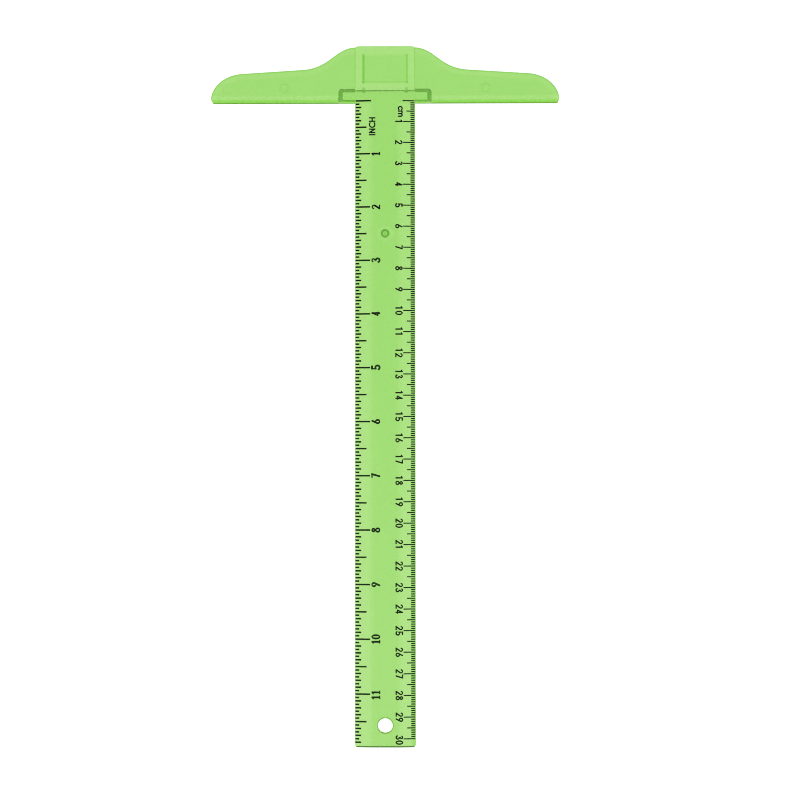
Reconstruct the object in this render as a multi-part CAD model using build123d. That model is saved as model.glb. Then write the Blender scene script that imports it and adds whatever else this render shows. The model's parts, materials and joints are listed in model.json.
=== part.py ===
from build123d import *
import os

# Junior T-square: a moulded head with a bearing fence, a detachable ruled blade, and the
# scales printed on the blade. Lengths are in millimetres, +Z is up, the blade points
# along -Y and the head lies across X. While it is modelled, Y = 0 is the bearing face,
# where both scales start. place() then moves every piece to the middle of its footprint.

# ---- driving dimensions: head ----
HEAD_HALF = 82.7          # half the head's length
HEAD_DEPTH = 25.9         # bearing face to the back of the bridge
HEAD_TOP = 7.0            # top of the wings above the foot of the fence
PLATE_T = 2.0             # thickness of the wings
FENCE_T = 2.1             # thickness of the bearing fence
BRIDGE_HALF = 14.1        # half the width of the raised bridge
BRIDGE_RISE = 0.5         # bridge above the wings
PAD_HALF = 10.4           # half the width of the blank label pad
PAD_FRONT = 8.3           # Y of the pad's front edge
PAD_BACK = 22.15          # Y of the pad's back edge
PAD_RISE = 0.35           # pad above the bridge
PAD_ROUND = 0.3           # rounding of the pad's top edges
BRIDGE_ROUND = 0.4        # rounding of the bridge's top edges
BEVEL_W = 3.1             # width of the bevel along the back edge
BEVEL_DROP = 1.2          # depth of the bevel along the back edge
EASE_W = 2.0              # width of the shallow slope along the wings' front edge
EASE_DROP = 0.3           # depth of that slope
TIP_RX = 16.0             # length of the elliptical wing tip
TIP_RY = 12.9             # depth of the elliptical wing tip
TIP_SWEEP = 85.2          # degrees of the ellipse, until it meets the straight back edge
TIP_CORNER = 0.8          # corner radius where the tip meets the bearing face
EJECTOR_X = 47.9          # ejector marks under the wings
EJECTOR_Y = 5.9
EJECTOR_R = 2.0

# ---- driving dimensions: blade ----
BLADE_HALF = 14.25        # half the blade's width
BLADE_LENGTH = 304.0      # bearing face to the free end
BLADE_T = 2.0             # thickness along the middle
BLADE_EDGE_T = 1.4        # thickness at the bevelled edges
BLADE_BOTTOM = 3.45       # underside of the blade above the foot of the fence
BLADE_ROUND = 0.25        # rounding of the blade's long edges
BEVEL_START = 7.25        # the bevels begin this far from the centreline
BEVEL_BLEND = 40.0        # radius that blends the flat into each bevel
END_CORNER = 1.5          # corner radius at the free end
HOLE_R = 3.5              # hang hole
HOLE_FROM_END = 10.0
GATE_Y = -63.3            # moulding gate on the centreline
EAR_HALF = 20.0           # half the width over the root's thick ears
EAR_TOP = 5.2             # top of the ears
ROOT_HALF = 22.1          # half the width over the root's thin rim
ROOT_DEPTH = 5.65         # rim's reach behind the bearing face
ROOT_STEP = 0.1           # the root's underside is this much higher than the blade's
ROOT_T = 1.45             # thickness of the rim, from the underside of the blade
NIB_REACH = 5.0           # the catches hold the root's nibs, which reach this far back

# ---- how the two mouldings meet ----
GAP = 0.05                # clearance round the root
NOTCH_DEPTH = 4.1         # the plate's notch behind the bearing face, beside the blade
MOUTH_Y = 4.5             # front edge of the bridge, above the blade
LIP_T = 0.8               # thin part of the fence below the ears
CATCH_X = 10.0            # catches that hold the rim from below
CATCH_W = 1.3
CATCH_T = 1.0             # thickness of the catches

# ---- driving dimensions: printing ----
INK_T = 0.04              # printed layer
EDGE_GAP = 0.25           # the marks stop this far inside the blade's edge
INCH = 25.4
INCH_STROKE = 0.78
CM_STROKE = 0.56
INCH_MARKS = {"sixteenth": 2.1, "eighth": 3.0, "half": 5.5, "inch": 7.2, "zero": 7.6}
CM_MARKS = {"mm": 2.2, "half": 4.05, "cm": 5.75, "zero": 5.9}
INCH_FIGURE = {"near": 7.75, "height": 4.2, "width": 2.45, "pitch": 2.3, "thick": 0.92, "thin": 0.62}
CM_FIGURE = {"near": 5.9, "height": 3.6, "width": 2.1, "pitch": 2.35, "thick": 0.7, "thin": 0.62}

WING_BOTTOM = HEAD_TOP - PLATE_T
BRIDGE_TOP = HEAD_TOP + BRIDGE_RISE
PAD_TOP = BRIDGE_TOP + PAD_RISE
BLADE_TOP = BLADE_BOTTOM + BLADE_T
ROOT_BOTTOM = BLADE_BOTTOM + ROOT_STEP
LIP_TOP = ROOT_BOTTOM - GAP
MIDDLE_Y = (HEAD_DEPTH - BLADE_LENGTH) / 2


def block(x0, x1, y0, y1, z0, z1):
    """A box between two corners."""
    middle = ((x0 + x1) / 2, (y0 + y1) / 2, (z0 + z1) / 2)
    return Pos(*middle) * Box(x1 - x0, y1 - y0, z1 - z0)


def prism(face, z0, z1):
    """A plan face on the XY plane, made solid between two heights."""
    return Pos(0, 0, z0) * extrude(face, z1 - z0)


def wedge(a, b, c, half_length):
    """A three-sided bar along X, with its corners given as (Y, Z)."""
    section = Plane.YZ * make_face(Polyline(a, b, c, close=True))
    return Pos(-half_length - 1, 0, 0) * extrude(section, 2 * half_length + 2)


def both_sides(solid):
    """A solid and its mirror image across the centreline."""
    return [solid, mirror(solid, Plane.YZ)]


# ---- head ----

def wing_plan():
    """Right half of the wings' outline, from the centreline to the tip."""
    shoulder = (BRIDGE_HALF, HEAD_DEPTH - 0.45)
    wing = (39.0, 14.7)
    tip_x = HEAD_HALF - TIP_RX
    tip = EllipticalCenterArc((tip_x, 0), TIP_RX, TIP_RY, 0, arc_size=TIP_SWEEP)
    back = Line((0, shoulder[1]), shoulder)
    curve = Bezier(shoulder, (24.0, 24.9), (25.9, 15.6), wing)
    run = Line(wing, tip @ 1)
    front = Line(tip @ 0, (0, 0))
    middle = Line((0, 0), (0, shoulder[1]))
    return make_face([back, curve, run, tip, front, middle])


def wing():
    """One wing: a flat plate, bevelled along its curved back and eased along its front."""
    plate = prism(wing_plan(), WING_BOTTOM, HEAD_TOP)
    top = plate.faces().sort_by(Axis.Z)[-1]
    back = [e for e in top.edges() if e.center().Y > 1.0 and e.center().X > 1.0]
    plate = chamfer(back, BEVEL_W, BEVEL_DROP, reference=top)
    corner = plate.edges().filter_by(Axis.Z).sort_by(Axis.X)[-1]
    plate = fillet(corner, TIP_CORNER)
    return plate - wedge((0, HEAD_TOP - EASE_DROP), (0, HEAD_TOP), (EASE_W, HEAD_TOP), HEAD_HALF)


def fence_half():
    """Half of the bearing fence, which thins to a lip under the blade's ear."""
    inner = ROOT_HALF + 0.2
    tip = prism(wing_plan(), 0, WING_BOTTOM)
    tip = fillet(tip.edges().filter_by(Axis.Z).sort_by(Axis.X)[-1], TIP_CORNER)
    wall = tip & block(inner, HEAD_HALF, 0, FENCE_T, 0, WING_BOTTOM)
    lip = block(BLADE_HALF + GAP, inner, 0, LIP_T, 0, LIP_TOP)
    return wall + lip


def catch(x):
    """A small hook under the bridge that holds one of the root's nibs from below."""
    left = x - CATCH_W / 2
    right = x + CATCH_W / 2
    back = NIB_REACH + GAP + CATCH_T
    hook = block(left, right, MOUTH_Y + 0.1, back, LIP_TOP - CATCH_T, LIP_TOP)
    web = block(left, right, back - CATCH_T, back, LIP_TOP - CATCH_T, WING_BOTTOM + 0.1)
    return hook + web


def bridge():
    """The raised middle of the head, with the blank pad on top."""
    plan = Pos(0, (MOUTH_Y + HEAD_DEPTH) / 2) * Rectangle(2 * BRIDGE_HALF, HEAD_DEPTH - MOUTH_Y)
    back_corners = plan.vertices().group_by(Axis.Y)[-1]
    body = prism(fillet(back_corners, END_CORNER), WING_BOTTOM, BRIDGE_TOP)
    body = fillet(body.edges().filter_by(Axis.Y).group_by(Axis.Z)[-1], BRIDGE_ROUND)
    low = (HEAD_DEPTH, BRIDGE_TOP - BEVEL_DROP)
    body -= wedge(low, (HEAD_DEPTH, BRIDGE_TOP), (HEAD_DEPTH - BEVEL_W, BRIDGE_TOP), BRIDGE_HALF)
    pad_plan = RectangleRounded(2 * PAD_HALF, PAD_BACK - PAD_FRONT, 1.2)
    pad = prism(Pos(0, (PAD_FRONT + PAD_BACK) / 2) * pad_plan, BRIDGE_TOP - 0.2, PAD_TOP)
    pad = fillet(pad.faces().sort_by(Axis.Z)[-1].edges(), PAD_ROUND)
    return body + pad


def head():
    body = bridge()
    for side in both_sides(wing()) + both_sides(fence_half()):
        body += side
    notch = Pos(0, NOTCH_DEPTH / 2 - 5) * Rectangle(2 * (EAR_HALF + GAP), NOTCH_DEPTH + 10)
    body -= prism(notch, WING_BOTTOM - 0.1, PAD_TOP + 1)
    mouth = Pos(0, MOUTH_Y / 2 - 5) * Rectangle(2 * (BLADE_HALF + GAP), MOUTH_Y + 10)
    body -= prism(mouth, WING_BOTTOM - 0.1, PAD_TOP + 1)
    for x in (-CATCH_X, CATCH_X):
        body += catch(x)
    mark = Pos(EJECTOR_X, EJECTOR_Y, WING_BOTTOM) * Cylinder(EJECTOR_R, 0.3)
    for dent in both_sides(mark):
        body -= dent
    return body


# ---- blade ----

def blade_section(lift=0.0):
    """Outline across the blade, on the XZ plane, with its top raised by lift."""
    edge = BLADE_BOTTOM + BLADE_EDGE_T + lift
    top = BLADE_TOP + lift
    points = [
        (-BLADE_HALF, BLADE_BOTTOM),
        (BLADE_HALF, BLADE_BOTTOM),
        (BLADE_HALF, edge),
        (BEVEL_START, top),
        (-BEVEL_START, top),
        (-BLADE_HALF, edge),
    ]
    outline = Polygon(*points, align=None)
    creases = [v for v in outline.vertices() if abs(v.Y - top) < 1e-6]
    return Plane.XZ * fillet(creases, BEVEL_BLEND)


def long_edges(strip):
    """The blade's outer edges, along its sides and round its free end, above and below."""
    def outer(edge):
        middle = edge.center()
        return abs(middle.X) > BLADE_HALF - 1 or middle.Y < 0.01 - BLADE_LENGTH
    lying = [e for e in strip.edges() if abs((e @ 1 - e @ 0).Z) < BLADE_T / 2]
    return [e for e in lying if outer(e) and e.center().Y < MOUTH_Y - 1]


def blade():
    strip = Pos(0, MOUTH_Y - GAP, 0) * extrude(blade_section(), BLADE_LENGTH + MOUTH_Y - GAP)
    far_corners = strip.edges().filter_by(Axis.Z).group_by(Axis.Y)[0]
    strip = fillet(far_corners, END_CORNER)
    strip = fillet(long_edges(strip), BLADE_ROUND)
    ears = block(-EAR_HALF, EAR_HALF, 0, NOTCH_DEPTH - GAP, BLADE_BOTTOM, EAR_TOP)
    ears -= block(-BLADE_HALF, BLADE_HALF, -1, NOTCH_DEPTH + 1, BLADE_BOTTOM + 0.5, EAR_TOP + 1)
    rim_plan = Pos(0, ROOT_DEPTH / 2) * Rectangle(2 * ROOT_HALF, ROOT_DEPTH)
    rim_plan = fillet(rim_plan.vertices().group_by(Axis.Y)[-1], END_CORNER)
    rim = prism(rim_plan, BLADE_BOTTOM, BLADE_BOTTOM + ROOT_T)
    rim -= block(-BRIDGE_HALF, BRIDGE_HALF, MOUTH_Y + 0.5, ROOT_DEPTH + 1, 0, HEAD_TOP)
    body = strip + ears + rim
    for x in (-CATCH_X, CATCH_X):
        body += block(x - CATCH_W, x + CATCH_W, 0, NIB_REACH, BLADE_BOTTOM, BLADE_BOTTOM + ROOT_T)
    body -= block(-ROOT_HALF, ROOT_HALF, 0, ROOT_DEPTH, BLADE_BOTTOM - 1, ROOT_BOTTOM)
    hole = Cylinder(HOLE_R, 20)
    body -= Pos(0, HOLE_FROM_END - BLADE_LENGTH, BLADE_TOP) * hole
    return body - gate_mark()


def gate_mark():
    """The shallow dish round the moulding gate, which leaves a ring and a sunk spot."""
    depth = 0.2
    dish = Cylinder(3.85, 2 * depth) - Cylinder(2.0, 2 * depth)
    well = Cylinder(1.55, 0.5) - Pos(0, 0, -0.25) * Cylinder(0.85, 0.5)
    return Pos(0, GATE_Y, BLADE_TOP) * (dish + well)


# ---- printing ----

def ink(face):
    """A printed shape: a plan face laid on the blade's top, as a thin layer that follows it."""
    low = face.bounding_box().min.Y - 1
    high = face.bounding_box().max.Y + 1
    layer = blade_section(INK_T) - blade_section()
    skin = Pos(0, high, 0) * extrude(layer, high - low)
    return prism(face, BLADE_BOTTOM, BLADE_TOP + 1) & skin


def at(solid, distance):
    """A copy of a printed shape, moved along the blade from the zero line."""
    return Pos(0, -distance, 0) * solid


def mark(side, length, stroke):
    """One graduation at the zero line, on the left edge (side -1) or the right (side 1)."""
    reach = BLADE_HALF - EDGE_GAP
    middle = side * (reach + BLADE_HALF - length) / 2
    return ink(Pos(middle, 0) * Rectangle(length - EDGE_GAP, stroke))


def inch_length(n):
    """Length of the mark at n sixteenths of an inch."""
    if n == 0:
        return "zero"
    if n % 16 == 0:
        return "inch"
    if n % 8 == 0:
        return "half"
    return "eighth" if n % 2 == 0 else "sixteenth"


def cm_length(n):
    """Length of the mark at n millimetres."""
    if n == 0:
        return "zero"
    if n % 10 == 0:
        return "cm"
    return "half" if n % 5 == 0 else "mm"


def graduations(side, marks, stroke, spacing, count, length_of):
    """Every mark along one edge."""
    kinds = {name: mark(side, length, stroke) for name, length in marks.items()}
    return [at(kinds[length_of(n)], n * spacing) for n in range(count + 1)]


def line(x0, y0, x1, y1, stroke):
    """A straight pen stroke with round ends."""
    return SlotArc(Line((x0, y0), (x1, y1)).edge(), stroke)


def arc(x, y, radius, start, sweep, stroke):
    """A round pen stroke with round ends."""
    return SlotArc(CenterArc((x, y), radius, start, sweep).edge(), stroke)


def ring(x, y, rx, ry, thick, thin):
    """A closed oval stroke, thick at its sides and thin at its top and bottom."""
    return Pos(x, y) * (Ellipse(rx, ry) - Ellipse(rx - thick, ry - thin))


def figure(digit, style, serif):
    """One numeral on the XY plane, upright, centred on X, standing on the X axis."""
    w, h = style["width"], style["height"]
    a, b = style["thick"], style["thin"]
    left, right = (a - w) / 2, (w - a) / 2
    foot, head_line = b / 2, h - b / 2
    if digit == "0":
        return ring(0, h / 2, w / 2, h / 2, a, b)
    if digit == "1":
        shape = line(0, a / 2, 0, h - a / 2, a)
        shape += line(0, h - a / 2, left * 0.85, h * 0.8, b)
        return shape + line(left * 0.7, foot, right * 0.7, foot, b) if serif else shape
    if digit == "2":
        shape = arc(0, h - w / 2, right, 170, -205, b)
        shape += line(right * 0.82, h - w / 2 - right * 0.57, left, foot, a)
        return shape + line(left, foot, right, foot, b)
    if digit == "3":
        upper, lower = h * 0.235 - b / 2, h * 0.285 - b / 2
        shape = arc(0, h - upper - b / 2, upper, 160, -245, b)
        return shape + arc(0, lower + b / 2, lower, 85, -245, a)
    if digit == "4":
        stem = right * 0.45
        shape = line(stem, a / 2, stem, h - a / 2, a)
        shape += line(stem, h - a / 2, left, h * 0.27, b)
        return shape + line(left, h * 0.27, right, h * 0.27, b)
    if digit == "5":
        bowl = h * 0.31 - b / 2
        shape = arc(0, bowl + b / 2, bowl, 120, -265, a)
        shape += line(left * 0.7, head_line, right * 0.8, head_line, a)
        return shape + line(left * 0.7, head_line, left * 0.75, bowl * 1.9, b)
    if digit == "6":
        return ring(0, w / 2, w / 2, w / 2, a, b) + line(left * 0.93, w * 0.6, right * 0.45, h - a / 2, a)
    if digit == "7":
        return line(left, head_line, right, head_line, b) + line(right, head_line, left * 0.3, a / 2, a)
    if digit == "8":
        upper = h * 0.24
        lower = h * 0.285
        shape = ring(0, h - upper, w * 0.43, upper, a, b)
        return shape + ring(0, lower, w / 2, lower, a, b)
    return Pos(0, h) * Rot(0, 0, 180) * figure("6", style, serif)


def numeral(number, style, serif):
    """A whole number, centred on X."""
    digits = str(number)
    pitch = style["pitch"]
    start = -pitch * (len(digits) - 1) / 2
    return [Pos(start + pitch * i, 0) * figure(d, style, serif) for i, d in enumerate(digits)]


def on_inch_side(face, near):
    """Turns upright lettering to read from the free end, its feet inboard of the inch edge."""
    return Pos(near - BLADE_HALF, 0) * Rot(0, 0, 90) * face


def on_cm_side(face, near):
    """Turns upright lettering to read towards the free end, its feet inboard of the cm edge."""
    return Pos(BLADE_HALF - near, 0) * Rot(0, 0, -90) * face


def inch_numerals():
    foot = INCH_FIGURE["near"] + INCH_FIGURE["height"]
    shapes = []
    for number in range(1, 12):
        shift = 0.3 if number == 11 else 0.0
        for glyph in numeral(number, INCH_FIGURE, True):
            shapes.append(at(ink(on_inch_side(glyph, foot)), number * INCH + shift))
    return shapes


def cm_numerals():
    foot = CM_FIGURE["near"] + CM_FIGURE["height"]
    shapes = []
    for number in range(1, 31):
        shift = 0.5 if number == 30 else 0.0
        for glyph in numeral(number, CM_FIGURE, False):
            shapes.append(at(ink(on_cm_side(glyph, foot)), number * 10 + shift))
    return shapes


def inch_legend():
    """The unit name in capitals beside the inch scale's first inch."""
    h, t = 3.2, 0.64
    w, low, high = 1.64, t / 2, h - t / 2
    letter_i = line(0, low, 0, high, t)
    letter_n = line(-w / 2, low, -w / 2, high, t) + line(w / 2, low, w / 2, high, t)
    letter_n += line(-w / 2, high, w / 2, low, t)
    letter_c = arc(0.2, h / 2, high - h / 2, 50, 260, t)
    letter_h = line(-w / 2, low, -w / 2, high, t) + line(w / 2, low, w / 2, high, t)
    letter_h += line(-w / 2, h / 2, w / 2, h / 2, t)
    word = [(letter_i, -3.9), (letter_n, -2.05), (letter_c, 0.75), (letter_h, 3.35)]
    shapes = [on_inch_side(Pos(x, 0) * letter, 9.75) for letter, x in word]
    return [at(ink(shape), 12.45) for shape in shapes]


def cm_legend():
    """The unit name in small letters beside the centimetre scale's first centimetre."""
    h, t = 2.4, 0.64
    letter_c = arc(0, h / 2, (h - t) / 2, 45, 270, t)
    hump = 0.62
    crown = h - t / 2 - hump
    letter_m = line(0, t / 2, 0, h - t / 2, t)
    for x in (0, 2 * hump):
        letter_m += arc(x + hump, crown, hump, 180, -180, t)
        letter_m += line(x + 2 * hump, crown, x + 2 * hump, t / 2, t)
    shapes = [on_cm_side(Pos(-1.45, 0) * letter_c, 8.2), on_cm_side(Pos(-0.15, 0) * letter_m, 8.2)]
    return [at(ink(shape), 5.2) for shape in shapes]


def place(shape):
    """Moves a piece so that the part stands over the middle of its footprint."""
    return Pos(0, -MIDDLE_Y, 0) * shape


def save(name, shape):
    solids = shape if isinstance(shape, list) else [shape]
    solids = [s for piece in solids for s in piece.solids()]
    whole = solids[0] if len(solids) == 1 else Compound(children=solids)
    export_step(place(whole), "parts/" + name + ".step")


os.makedirs("parts", exist_ok=True)
save("head", head())
save("blade", blade())
save("inch_graduations", graduations(-1, INCH_MARKS, INCH_STROKE, INCH / 16, 190, inch_length))
save("cm_graduations", graduations(1, CM_MARKS, CM_STROKE, 1.0, 300, cm_length))
save("inch_numerals", inch_numerals())
save("cm_numerals", cm_numerals())
save("inch_legend", inch_legend())
save("cm_legend", cm_legend())
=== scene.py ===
import json
import math

import bpy
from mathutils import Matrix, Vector


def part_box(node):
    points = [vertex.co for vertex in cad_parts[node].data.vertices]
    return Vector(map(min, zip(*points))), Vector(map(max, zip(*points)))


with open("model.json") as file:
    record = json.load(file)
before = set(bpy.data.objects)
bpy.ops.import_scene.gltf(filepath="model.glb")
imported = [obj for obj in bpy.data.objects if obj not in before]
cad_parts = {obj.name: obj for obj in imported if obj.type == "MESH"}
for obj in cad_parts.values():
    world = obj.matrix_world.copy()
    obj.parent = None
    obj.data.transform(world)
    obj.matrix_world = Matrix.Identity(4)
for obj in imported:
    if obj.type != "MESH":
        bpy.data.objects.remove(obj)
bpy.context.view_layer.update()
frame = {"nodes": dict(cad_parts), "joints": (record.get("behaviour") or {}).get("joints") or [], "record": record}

# A small clear green T-square: a moulded head with a bearing fence, and a ruled blade that
# slides into it. Lengths are in metres. The blade points along -Y and the print faces up.
MM = 0.001
HEAD_LOW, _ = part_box("head")
BLADE_LOW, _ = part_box("blade")
BEARING_Y = HEAD_LOW.y
BLADE_END_Y = BLADE_LOW.y
BLADE_HALF = 14.25 * MM
BLADE_TRAVEL = frame["joints"][0]["range_m"][1]
HANG_HOLE = next(mount for mount in frame["record"]["mounts"] if mount["name"] == "hang_hole")
HOLE_CENTRE = Vector(HANG_HOLE["pos_m"])
HOLE_R = HANG_HOLE["dims"]["r_mm"] * MM

# The raised bridge in the middle of the head, the blank pad on it, and the catches under it.
BRIDGE_HALF = 14.1 * MM
PAD_HALF = 10.4 * MM
PAD_FRONT = BEARING_Y + 8.3 * MM
PAD_BACK = BEARING_Y + 22.15 * MM
CATCH = (10.2 * MM, BEARING_Y + 5.2 * MM)
BEVEL_FOOT = 5.8 * MM

# The blade's root has thick ears, and a thin rim round them that the head laps over.
ROOT_HALF = 22.1 * MM
ROOT_BACK = BEARING_Y + 5.65 * MM
EAR_HALF = 20.0 * MM
EAR_BACK = BEARING_Y + 4.1 * MM

# Marks of moulding: an ejector pin's ring under each wing, and the gate's spot on the blade.
EJECTOR = (47.9 * MM, BEARING_Y + 5.9 * MM)
EJECTOR_R = 2.0 * MM
GATE = (0.0, BEARING_Y - 63.3 * MM)
GATE_R = 1.6 * MM
GATE_DISH_R = 3.2 * MM


# ---- node helpers ----

def new_group(name, inputs, outputs):
    """An empty shader node group with float inputs (name: default) and named outputs."""
    group = bpy.data.node_groups.new(name, "ShaderNodeTree")
    for socket, default in inputs.items():
        made = group.interface.new_socket(socket, in_out="INPUT", socket_type="NodeSocketFloat")
        made.default_value = default
    for socket, kind in outputs.items():
        group.interface.new_socket(socket, in_out="OUTPUT", socket_type=kind)
    return group, group.nodes.new("NodeGroupInput"), group.nodes.new("NodeGroupOutput")


def placed(tree, group, **values):
    """A group in a material, with its inputs set by name (underscores stand for spaces)."""
    node = tree.nodes.new("ShaderNodeGroup")
    node.node_tree = group
    for name, value in values.items():
        plug(tree, value, node.inputs[name.replace("_", " ")])
    return node.outputs


def plug(tree, value, socket):
    """Feeds a socket with a number or with another socket."""
    if isinstance(value, (int, float)):
        socket.default_value = value
    else:
        tree.links.new(value, socket)


def maths(tree, operation, a, b=None, clamp=False):
    """A Math node on numbers or sockets. Returns its output socket."""
    node = tree.nodes.new("ShaderNodeMath")
    node.operation = operation
    node.use_clamp = clamp
    plug(tree, a, node.inputs[0])
    if b is not None:
        plug(tree, b, node.inputs[1])
    return node.outputs[0]


def product(tree, first, *others):
    """All the masks multiplied together."""
    for other in others:
        first = maths(tree, "MULTIPLY", first, other)
    return first


def opposite(tree, mask):
    """1 where the mask is 0, and 0 where it is 1."""
    return maths(tree, "SUBTRACT", 1.0, mask)


def summed(tree, start, *parts):
    """start plus each mask times its share."""
    total = start
    for mask, share in parts:
        total = maths(tree, "ADD", total, maths(tree, "MULTIPLY", mask, share))
    return total


def rise(tree, value, start, end, low=0.0, high=1.0):
    """Goes smoothly from low to high while value goes from start to end."""
    node = tree.nodes.new("ShaderNodeMapRange")
    node.interpolation_type = "SMOOTHSTEP"
    plug(tree, value, node.inputs["Value"])
    for name, number in (("From Min", start), ("From Max", end), ("To Min", low), ("To Max", high)):
        plug(tree, number, node.inputs[name])
    return node.outputs["Result"]


def over(tree, value, limit, blur):
    """1 above the limit and 0 below it, with a soft step as wide as the blur each side."""
    return rise(tree, value, limit - blur, limit + blur)


def under(tree, value, limit, blur):
    """1 below the limit and 0 above it, with a soft step as wide as the blur each side."""
    return rise(tree, value, limit + blur, limit - blur)


def band(tree, value, low, high, blur):
    """1 while value is between low and high, falling to 0 outside over the blur's width."""
    return product(tree, rise(tree, value, low - blur, low), rise(tree, value, high + blur, high))


def near(tree, value, middle, width, blur):
    """1 in a strip of the given width round middle, falling to 0 over the blur's width."""
    away = maths(tree, "ABSOLUTE", maths(tree, "SUBTRACT", value, middle))
    return rise(tree, away, width / 2 + blur, width / 2)


def place_in_part(tree):
    """A point in the part's own frame, as a vector and as X, Y and Z."""
    coords = tree.nodes.new("ShaderNodeTexCoord")
    split = tree.nodes.new("ShaderNodeSeparateXYZ")
    tree.links.new(coords.outputs["Object"], split.inputs[0])
    return coords.outputs["Object"], split.outputs


def distance_from(tree, x, y, centre):
    """How far a point is from an upright axis through centre."""
    dx = maths(tree, "SUBTRACT", x, centre[0])
    dy = maths(tree, "SUBTRACT", y, centre[1])
    square = maths(tree, "ADD", maths(tree, "MULTIPLY", dx, dx), maths(tree, "MULTIPLY", dy, dy))
    return maths(tree, "SQRT", square)


def spot(tree, x, y, centre, radius):
    """A soft round spot."""
    return under(tree, distance_from(tree, x, y, centre), radius, 0.3 * MM)


def levelness(tree):
    """1 on level faces, 0 on upright ones."""
    geometry = tree.nodes.new("ShaderNodeNewGeometry")
    normal = tree.nodes.new("ShaderNodeSeparateXYZ")
    tree.links.new(geometry.outputs["Normal"], normal.inputs[0])
    return maths(tree, "ABSOLUTE", normal.outputs[2])


def stretched(tree, vector, scale, turn):
    """A vector scaled along each axis and turned about Z."""
    node = tree.nodes.new("ShaderNodeMapping")
    node.inputs["Scale"].default_value = scale
    node.inputs["Rotation"].default_value[2] = turn
    tree.links.new(vector, node.inputs["Vector"])
    return node.outputs[0]


def noise(tree, vector, scale, detail=2.0, roughness=0.5):
    """Soft random variation round 0.5, with scale waves to the unit."""
    node = tree.nodes.new("ShaderNodeTexNoise")
    node.inputs["Scale"].default_value = scale
    node.inputs["Detail"].default_value = detail
    node.inputs["Roughness"].default_value = roughness
    tree.links.new(vector, node.inputs["Vector"])
    return node.outputs["Fac"]


def colour_mix(tree, factor, first, second):
    """Goes from the first colour to the second as factor goes from 0 to 1."""
    node = tree.nodes.new("ShaderNodeMix")
    node.data_type = "RGBA"
    tree.links.new(factor, node.inputs["Factor"])
    node.inputs["A"].default_value = (*first, 1)
    node.inputs["B"].default_value = (*second, 1)
    return node.outputs["Result"]


def add_bump(tree, shader, height, strength, distance):
    """Raises the surface a little with the height."""
    bump = tree.nodes.new("ShaderNodeBump")
    bump.inputs["Strength"].default_value = strength
    bump.inputs["Distance"].default_value = distance
    tree.links.new(height, bump.inputs["Height"])
    tree.links.new(bump.outputs[0], shader.inputs["Normal"])


# ---- effects that several materials share ----

def make_green_depth():
    """The colour that clear green plastic passes: deeper in a thicker wall and in painted shade added to the wall,
    and darker still by the painted shade given as Shade.
    """
    group, given, made = new_group(
        "green_depth",
        {"Wall": 1.0, "Shade": 0.0, "Red Loss": 1.12, "Green Loss": 0.39, "Blue Loss": 1.87},
        {"Color": "NodeSocketColor"},
    )
    join = group.nodes.new("ShaderNodeCombineColor")
    for i, channel in enumerate(("Red", "Green", "Blue")):
        loss = maths(group, "MULTIPLY", given.outputs["Wall"], given.outputs[channel + " Loss"])
        loss = maths(group, "ADD", loss, given.outputs["Shade"])
        passed = maths(group, "EXPONENT", maths(group, "MULTIPLY", loss, -1.0))
        group.links.new(passed, join.inputs[i])
    group.links.new(join.outputs[0], made.inputs["Color"])
    return group


def make_flow_lines():
    """Faint streaks that the melt leaves along the mould, as small changes of wall."""
    group, given, made = new_group(
        "flow_lines",
        {"Along X": 20.0, "Along Y": 400.0, "Strength": 0.03},
        {"Wall": "NodeSocketFloat", "Height": "NodeSocketFloat"},
    )
    where, _ = place_in_part(group)
    scale = group.nodes.new("ShaderNodeCombineXYZ")
    group.links.new(given.outputs["Along X"], scale.inputs[0])
    group.links.new(given.outputs["Along Y"], scale.inputs[1])
    scale.inputs[2].default_value = 1.0
    stretch = group.nodes.new("ShaderNodeVectorMath")
    stretch.operation = "MULTIPLY"
    group.links.new(where, stretch.inputs[0])
    group.links.new(scale.outputs[0], stretch.inputs[1])
    streaks = noise(group, stretch.outputs[0], 1.0, 3.0, 0.55)
    centred = maths(group, "SUBTRACT", streaks, 0.5)
    group.links.new(maths(group, "MULTIPLY", centred, given.outputs["Strength"]), made.inputs["Wall"])
    group.links.new(streaks, made.inputs["Height"])
    return group


def scratch_lines(group, where):
    """Three sets of long hairlines, each at its own angle and broken into patches."""
    lines = None
    for turn, fineness in ((0.35, 900.0), (-0.9, 700.0), (1.45, 1100.0)):
        field = noise(group, stretched(group, where, (fineness, 14.0, 14.0), turn), 1.0, 1.0)
        from_middle = maths(group, "ABSOLUTE", maths(group, "SUBTRACT", field, 0.5))
        hair = rise(group, from_middle, 0.012, 0.0)
        patch = rise(group, noise(group, stretched(group, where, (40.0, 40.0, 40.0), turn), 1.0), 0.52, 0.66)
        hair = maths(group, "MULTIPLY", hair, patch)
        lines = hair if lines is None else maths(group, "MAXIMUM", lines, hair)
    return lines


def dust_specks(group, where):
    """Tiny specks about 2 mm apart, most of them left out at random."""
    cells = group.nodes.new("ShaderNodeTexVoronoi")
    cells.inputs["Scale"].default_value = 450.0
    group.links.new(where, cells.inputs["Vector"])
    speck = rise(group, cells.outputs["Distance"], 0.09, 0.04)
    split = group.nodes.new("ShaderNodeSeparateColor")
    group.links.new(cells.outputs["Color"], split.inputs[0])
    kept = maths(group, "GREATER_THAN", split.outputs[0], 0.86)
    return maths(group, "MULTIPLY", speck, kept)


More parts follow.
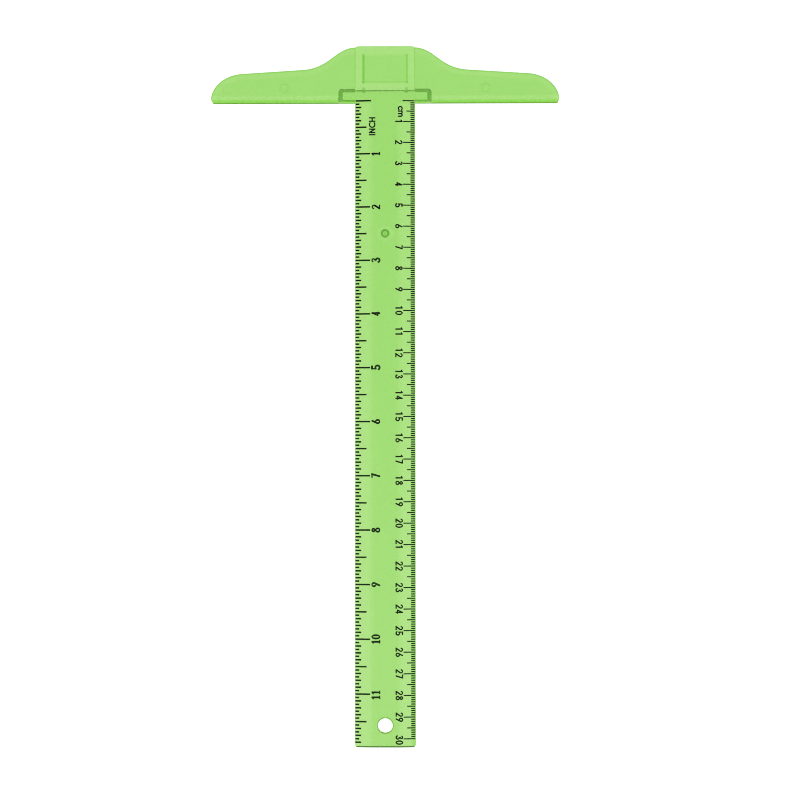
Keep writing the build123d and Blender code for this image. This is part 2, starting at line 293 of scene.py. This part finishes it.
def make_handling_marks():
    """Hairline scratches and dust specks from use, each as a mask from 0 to its amount."""
    group, given, made = new_group(
        "handling_marks",
        {"Scratches": 0.5, "Dust": 0.5},
        {"Scratch Mask": "NodeSocketFloat", "Dust Mask": "NodeSocketFloat"},
    )
    where, _ = place_in_part(group)
    scratches = maths(group, "MULTIPLY", scratch_lines(group, where), given.outputs["Scratches"])
    dust = maths(group, "MULTIPLY", dust_specks(group, where), given.outputs["Dust"])
    group.links.new(scratches, made.inputs["Scratch Mask"])
    group.links.new(dust, made.inputs["Dust Mask"])
    return group


GREEN_DEPTH = make_green_depth()
FLOW_LINES = make_flow_lines()
HANDLING_MARKS = make_handling_marks()


# ---- clear green plastic ----

def principled(name):
    """A new material, its node tree and its shader."""
    material = bpy.data.materials.new(name)
    material.use_nodes = True
    tree = material.node_tree
    return material, tree, tree.nodes["Principled BSDF"]


def let_lamps_through(tree, shader):
    """Lets light reach what lies under clear plastic, so that it casts hardly any shadow."""
    rays = tree.nodes.new("ShaderNodeLightPath")
    clear = tree.nodes.new("ShaderNodeBsdfTransparent")
    surface = shader.outputs["BSDF"]
    for ray in ("Is Diffuse Ray", "Is Shadow Ray"):
        mix = tree.nodes.new("ShaderNodeMixShader")
        tree.links.new(rays.outputs[ray], mix.inputs[0])
        tree.links.new(surface, mix.inputs[1])
        tree.links.new(clear.outputs[0], mix.inputs[2])
        surface = mix.outputs[0]
    tree.links.new(surface, tree.nodes["Material Output"].inputs["Surface"])


def pad_masks(tree, x, y, on_bridge, slope):
    """The bridge's frame round the blank pad, and painted shade along the pad's four sides and at its corners."""
    across = maths(tree, "ABSOLUTE", x)
    in_x = under(tree, across, PAD_HALF, 0.2 * MM)
    in_y = over(tree, y, PAD_FRONT, 0.2 * MM)
    in_y = product(tree, in_y, under(tree, y, PAD_BACK - 0.5 * MM, 1.0 * MM))
    off_pad = opposite(tree, product(tree, in_x, in_y))
    front_corner = spot(tree, across, y, (PAD_HALF, PAD_FRONT), 0.6 * MM)
    back_corner = spot(tree, across, y, (PAD_HALF, PAD_BACK - 0.8 * MM), 0.6 * MM)
    # Painted shade: dark lines along the pad's sides, deeper on its left and front, and dark spots at its corners.
    return {
        "frame": product(tree, on_bridge, off_pad, opposite(tree, slope)),
        "sides": product(tree, near(tree, across, PAD_HALF, 0.5 * MM, 0.4 * MM), in_y),
        "left": product(tree, near(tree, x, 0.5 * MM - PAD_HALF, 0.5 * MM, 0.3 * MM), in_y),
        "front": product(tree, near(tree, y, PAD_FRONT, 0.2 * MM, 0.3 * MM), in_x),
        "corners": maths(tree, "MAXIMUM", front_corner, back_corner),
    }


def root_lap(tree, across, y, on_bridge):
    """The band where the head laps over the thin rim of the blade's root."""
    half_blur = 0.2 * MM
    on_root = under(tree, across, ROOT_HALF - half_blur, half_blur)
    on_root = product(tree, on_root, under(tree, y, ROOT_BACK - half_blur, half_blur))
    on_ears = under(tree, across, EAR_HALF + half_blur, half_blur)
    on_ears = product(tree, on_ears, under(tree, y, EAR_BACK + half_blur, half_blur))
    return product(tree, on_root, opposite(tree, on_ears), opposite(tree, on_bridge))


def head_wall_and_painted_shade(tree):
    """The head's wall and painted shade: lighter on slopes and round the pad, deepened by painted shade at its
    edges, creases and catches.
    """
    _, (x, y, z) = place_in_part(tree)
    across = maths(tree, "ABSOLUTE", x)
    level = levelness(tree)
    slope = band(tree, level, 0.9, 0.97, 0.02)
    # Painted shade: upright faces, the foot of each bevel, the bridge's sides and the spots over the catches are
    # painted deeper.
    upright_painted_shade = rise(tree, level, 0.85, 0.5)
    rim = product(tree, slope, rise(tree, z, BEVEL_FOOT + 0.35 * MM, BEVEL_FOOT + 0.1 * MM))
    on_bridge = under(tree, across, BRIDGE_HALF, 0.1 * MM)
    bridge_side_painted_shade = near(tree, across, BRIDGE_HALF, 0.2 * MM, 0.3 * MM)
    pad = pad_masks(tree, x, y, on_bridge, slope)
    catch_painted_shade = spot(tree, across, y, CATCH, 0.7 * MM)
    ease = near(tree, y, BEARING_Y + 1.2 * MM, 1.4 * MM, 0.6 * MM)
    ejector = near(tree, distance_from(tree, across, y, EJECTOR), EJECTOR_R, 0.3 * MM, 0.3 * MM)
    # The lap band is painted a greyer green with painted shade, and this stays on the head when the blade slides
    # out.
    lap = root_lap(tree, across, y, on_bridge)
    wall = summed(
        tree, 1.0,
        (slope, -0.12), (rim, 0.7), (upright_painted_shade, 0.35),
        (pad["frame"], -0.12), (pad["sides"], 0.38), (pad["left"], 0.25), (pad["front"], 0.14),
        (pad["corners"], 0.2), (bridge_side_painted_shade, 0.24), (catch_painted_shade, 0.5), (ease, -0.1), (ejector, 0.12),
        (lap, -0.55),
    )
    # The shade returned is painted shade, over the lap band only.
    return wall, maths(tree, "MULTIPLY", lap, 0.32)


def blade_wall_and_painted_shade(tree):
    """The blade's wall and painted shade: lighter towards its sides, deeper at the fine marks and the gate's spot,
    and deepened by painted shade at its upright faces, sides, end, hanging hole and gate.
    """
    _, (x, y, _) = place_in_part(tree)
    across = maths(tree, "ABSOLUTE", x)
    ruled = rise(tree, y, BEARING_Y, BEARING_Y - 2 * MM)
    shoulder = product(tree, over(tree, across, 6.5 * MM, 2.0 * MM), ruled)
    margin = product(tree, over(tree, across, BLADE_HALF - 1.5 * MM, 1.0 * MM), ruled)
    fine_side = product(tree, margin, rise(tree, x, 0.0, BLADE_HALF))
    towards_end = rise(tree, y, BEARING_Y, BLADE_END_Y)
    # Painted shade: upright faces, a line along each side, a band at the end, and rings round the hanging hole and
    # the gate are painted deeper and darker.
    upright_painted_shade = rise(tree, levelness(tree), 0.85, 0.5)
    side_painted_shade = product(tree, near(tree, across, BLADE_HALF - 0.1 * MM, 0.2 * MM, 0.1 * MM), ruled)
    end_painted_shade = rise(tree, y, BLADE_END_Y + 0.6 * MM, BLADE_END_Y + 0.3 * MM)
    from_hole = distance_from(tree, x, y, HOLE_CENTRE.xy)
    hole_rim_painted_shade = near(tree, from_hole, HOLE_R + 0.1 * MM, 0.3 * MM, 0.25 * MM)
    from_gate = distance_from(tree, x, y, GATE)
    gate_rim_painted_shade = near(tree, from_gate, GATE_R, 0.4 * MM, 0.35 * MM)
    gate_spot = rise(tree, from_gate, GATE_R + 0.2 * MM, GATE_R - 0.1 * MM)
    gate_dish = near(tree, from_gate, GATE_DISH_R, 0.9 * MM, 0.4 * MM)
    wall = summed(
        tree, 1.04,
        (shoulder, -0.14), (margin, -0.12), (fine_side, 0.4), (towards_end, -0.11), (upright_painted_shade, 0.5),
        (side_painted_shade, 0.3), (end_painted_shade, 0.9), (hole_rim_painted_shade, 0.35),
        (gate_rim_painted_shade, 0.3), (gate_spot, 0.25), (gate_dish, -0.08),
    )
    # The shade returned is painted shade at the end and round the hole and the gate.
    return wall, summed(tree, 0.0, (end_painted_shade, 1.2), (hole_rim_painted_shade, 0.3), (gate_rim_painted_shade, 0.5))


def clear_green_plastic(name, wall_and_painted_shade_of, flow):
    """Polished clear green moulding, with flow lines, hairline scratches and a little dust."""
    material, tree, shader = principled(name)
    shader.inputs["Transmission Weight"].default_value = 1.0
    shader.inputs["IOR"].default_value = 1.49
    streaks = placed(tree, FLOW_LINES, **flow)
    marks = placed(tree, HANDLING_MARKS, Scratches=0.5, Dust=0.6)
    scratches, dust = marks["Scratch Mask"], marks["Dust Mask"]
    # The masks give the plastic's depth together with painted shade.
    wall, shade = wall_and_painted_shade_of(tree)
    wall = maths(tree, "ADD", wall, streaks["Wall"])
    wall = summed(tree, wall, (dust, 0.5), (scratches, -0.1))
    colour = placed(tree, GREEN_DEPTH, Wall=wall, Shade=shade)
    tree.links.new(colour["Color"], shader.inputs["Base Color"])
    tree.links.new(summed(tree, 0.02, (scratches, 0.1), (dust, 0.3)), shader.inputs["Roughness"])
    height = maths(tree, "SUBTRACT", streaks["Height"], scratches)
    add_bump(tree, shader, height, 0.15, 0.05 * MM)
    let_lamps_through(tree, shader)
    return material


# ---- print ----

def printed_ink():
    """Black screen print, a little green where it is thin, with a grainy satin surface."""
    material, tree, shader = principled("printed_ink")
    where, (_, y, _) = place_in_part(tree)
    patchy = rise(tree, noise(tree, where, 160.0), 0.5, 0.75, 0.0, 0.7)
    worn_end = rise(tree, y, BEARING_Y, BLADE_END_Y, 0.0, 0.5)
    thin = maths(tree, "ADD", patchy, worn_end, clamp=True)
    colour = colour_mix(tree, thin, (0.0025, 0.004, 0.0025), (0.010, 0.040, 0.007))
    tree.links.new(colour, shader.inputs["Base Color"])
    grain = noise(tree, where, 4000.0)
    tree.links.new(rise(tree, grain, 0.3, 0.7, 0.5, 0.7), shader.inputs["Roughness"])
    shader.inputs["Specular IOR Level"].default_value = 0.1
    add_bump(tree, shader, grain, 0.2, 0.01 * MM)
    return material


def give(node, material):
    """Puts a material on a CAD node."""
    mesh = frame["nodes"][node].data
    mesh.materials.clear()
    mesh.materials.append(material)


def dress():
    """Green plastic on the two mouldings and ink on all the print."""
    along_head = {"Along_X": 25.0, "Along_Y": 450.0, "Strength": 0.1}
    along_blade = {"Along_X": 450.0, "Along_Y": 12.0, "Strength": 0.05}
    give("head", clear_green_plastic("head_plastic", head_wall_and_painted_shade, along_head))
    give("blade", clear_green_plastic("blade_plastic", blade_wall_and_painted_shade, along_blade))
    ink = printed_ink()
    for name, node in frame["nodes"].items():
        if name not in ("head", "blade"):
            give(name, ink)
            # Its shadow on the paper would show through the clear blade as a grey smudge.
            node.visible_shadow = False
            node.visible_diffuse = False


# ---- stage, light and camera ----

def table_paper():
    """White paper, painted pale green in mirror reflections only: a painted reflection that stands in for the
    green-tinted shade the plastic would cast near it.
    """
    material, tree, shader = principled("table_paper")
    rays = tree.nodes.new("ShaderNodeLightPath")
    # Painted reflection: rays reflected off the plastic see the paper as pale green.
    colour = colour_mix(tree, rays.outputs["Is Reflection Ray"], (0.93, 0.93, 0.93), (0.4, 0.8, 0.15))
    tree.links.new(colour, shader.inputs["Base Color"])
    shader.inputs["Roughness"].default_value = 0.9
    shader.inputs["Specular IOR Level"].default_value = 0.0
    return material


def table_top():
    """A white sheet that leans a little, because the part is drawn with its blade level."""
    reach = 3.0
    corners = [(-reach, -reach, 0), (reach, -reach, 0), (reach, reach, 0), (-reach, reach, 0)]
    mesh = bpy.data.meshes.new("table_top")
    mesh.from_pydata(corners, [], [(0, 1, 2, 3)])
    mesh.materials.append(table_paper())
    top = bpy.data.objects.new("table_top", mesh)
    bpy.context.scene.collection.objects.link(top)
    run = BEARING_Y - BLADE_END_Y + BLADE_TRAVEL
    top.rotation_euler.x = -math.atan2(BLADE_LOW.z, run)
    top.location = (0, BEARING_Y, 0)


def soft_box(name, place, side, power):
    """A square area light, side metres wide, that faces the part."""
    light = bpy.data.lights.new(name, "AREA")
    light.shape = "RECTANGLE"
    light.size = side
    light.size_y = side
    light.energy = power
    lamp = bpy.data.objects.new(name, light)
    bpy.context.scene.collection.objects.link(lamp)
    lamp.location = place
    lamp.rotation_euler = (-Vector(place)).to_track_quat("-Z", "Y").to_euler()


def studio():
    """Even white surroundings, a soft box at each side, and enough bounces for clear plastic."""
    scene = bpy.context.scene
    world = bpy.data.worlds.new("studio")
    scene.world = world
    world.use_nodes = True
    back = world.node_tree.nodes["Background"]
    back.inputs["Color"].default_value = (1, 1, 1, 1)
    back.inputs["Strength"].default_value = 0.45
    for side in (-1, 1):
        soft_box(f"softbox_{side}", (1.6 * side, 0.0, 1.6), 1.4, 30)
    scene.view_settings.view_transform = "Standard"
    scene.cycles.max_bounces = 32
    scene.cycles.transmission_bounces = 32
    scene.cycles.glossy_bounces = 16
    scene.cycles.transparent_max_bounces = 32
    scene.cycles.filter_width = 1.0


def camera():
    """Looks almost straight down on the part from 600 mm above it."""
    place = (11.2 * MM, -27.6 * MM, 600 * MM)
    tilt_degrees = (2.347, 0.409, -0.059)
    lens = bpy.data.cameras.new("camera")
    lens.sensor_width = 36
    lens.lens = 56.966
    lens.clip_start = 0.01
    eye = bpy.data.objects.new("camera", lens)
    bpy.context.scene.collection.objects.link(eye)
    eye.location = place
    eye.rotation_euler = [math.radians(angle) for angle in tilt_degrees]
    bpy.context.scene.camera = eye


table_top()
studio()
camera()
dress()
